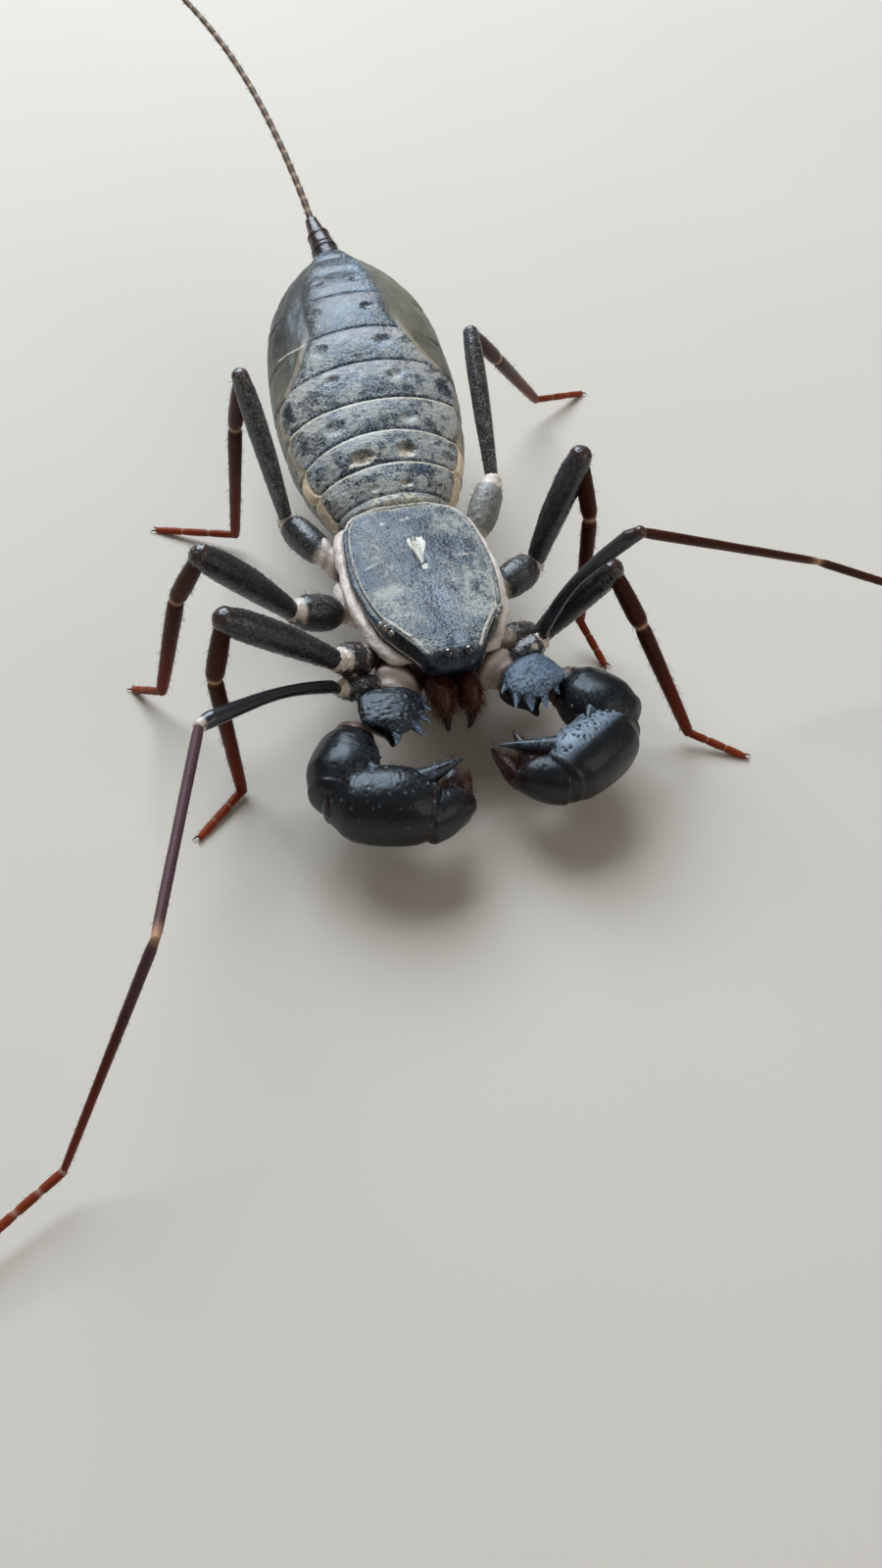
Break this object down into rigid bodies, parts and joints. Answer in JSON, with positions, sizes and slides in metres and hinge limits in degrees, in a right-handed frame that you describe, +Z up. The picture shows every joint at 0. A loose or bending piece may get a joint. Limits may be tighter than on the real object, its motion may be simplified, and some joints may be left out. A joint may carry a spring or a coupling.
{
  "type": "giant whip scorpion (vinegaroon) model",
  "caption": "Life-size still model of a giant whip scorpion standing with folded claw arms, long feeler legs out in front and its tail whip raised.",
  "frame": {"origin": "on the floor, under the middle of the whole model's box", "axes": "+Z up, the animal faces -Y, its left side is at +X; +Y runs along its length to the tail whip"},
  "size_m": [0.0974, 0.127, 0.0303],
  "materials": {
    "shield": "dull blue-grey granular cuticle with dusty speckles and a cream rim",
    "back_plates": "dull blue-grey granular plates with cream hind edges and paired pits",
    "membrane": "smooth olive-grey membrane with cream folds and dark belly plates",
    "underside": "dark reddish-brown cuticle with pale pink membrane at the joints",
    "claw_arm": "glossy blue-black cuticle with fine punctures",
    "finger": "dark red-brown glossy cuticle, haired inside",
    "jaw": "dark red-brown cuticle with red-brown bristles",
    "eye": "polished black lens",
    "femur": "black finely granular cuticle with a blue-grey sheen",
    "shin": "dark brown cuticle grading to red-brown",
    "tarsus": "red-brown cuticle with fine bristles",
    "whip": "red-brown ringed whip with pale joints"
  },
  "bodies": {
    "root": {"median_eye_right": "eye", "median_eye_left": "eye", "lateral_eyes_right": "eye", "lateral_eyes_left": "eye", "carapace": "shield", "prosoma_underside": "underside", "chelicera_right": "jaw", "chelicera_left": "jaw", "pedipalp_right_trochanter": "claw_arm", "pedipalp_right_femur": "claw_arm", "pedipalp_right_patella": "claw_arm", "pedipalp_right_tibia": "claw_arm", "pedipalp_right_tarsus": "finger", "pedipalp_left_trochanter": "claw_arm", "pedipalp_left_femur": "claw_arm", "pedipalp_left_patella": "claw_arm", "pedipalp_left_tibia": "claw_arm", "pedipalp_left_tarsus": "finger", "leg1_right_trochanter": "femur", "leg1_right_femur": "femur", "leg1_right_patella": "shin", "leg1_right_tibia": "tarsus", "leg1_right_tarsus": "tarsus", "leg2_right_trochanter": "femur", "leg2_right_femur": "femur", "leg2_right_shin": "shin", "leg2_right_tarsus": "tarsus", "leg3_right_trochanter": "femur", "leg3_right_femur": "femur", "leg3_right_shin": "shin", "leg3_right_tarsus": "tarsus", "leg4_right_trochanter": "femur", "leg4_right_femur": "femur", "leg4_right_shin": "shin", "leg4_right_tarsus": "tarsus", "leg1_left_trochanter": "femur", "leg1_left_femur": "femur", "leg1_left_patella": "shin", "leg1_left_tibia": "tarsus", "leg1_left_tarsus": "tarsus", "leg2_left_trochanter": "femur", "leg2_left_femur": "femur", "leg2_left_shin": "shin", "leg2_left_tarsus": "tarsus", "leg3_left_trochanter": "femur", "leg3_left_femur": "femur", "leg3_left_shin": "shin", "leg3_left_tarsus": "tarsus", "leg4_left_trochanter": "femur", "leg4_left_femur": "femur", "leg4_left_shin": "shin", "leg4_left_tarsus": "tarsus", "abdomen_back": "back_plates", "abdomen_belly": "membrane", "pygidium": "femur", "flagellum_base": "whip", "flagellum_tip": "whip"}
  },
  "joints": []
}
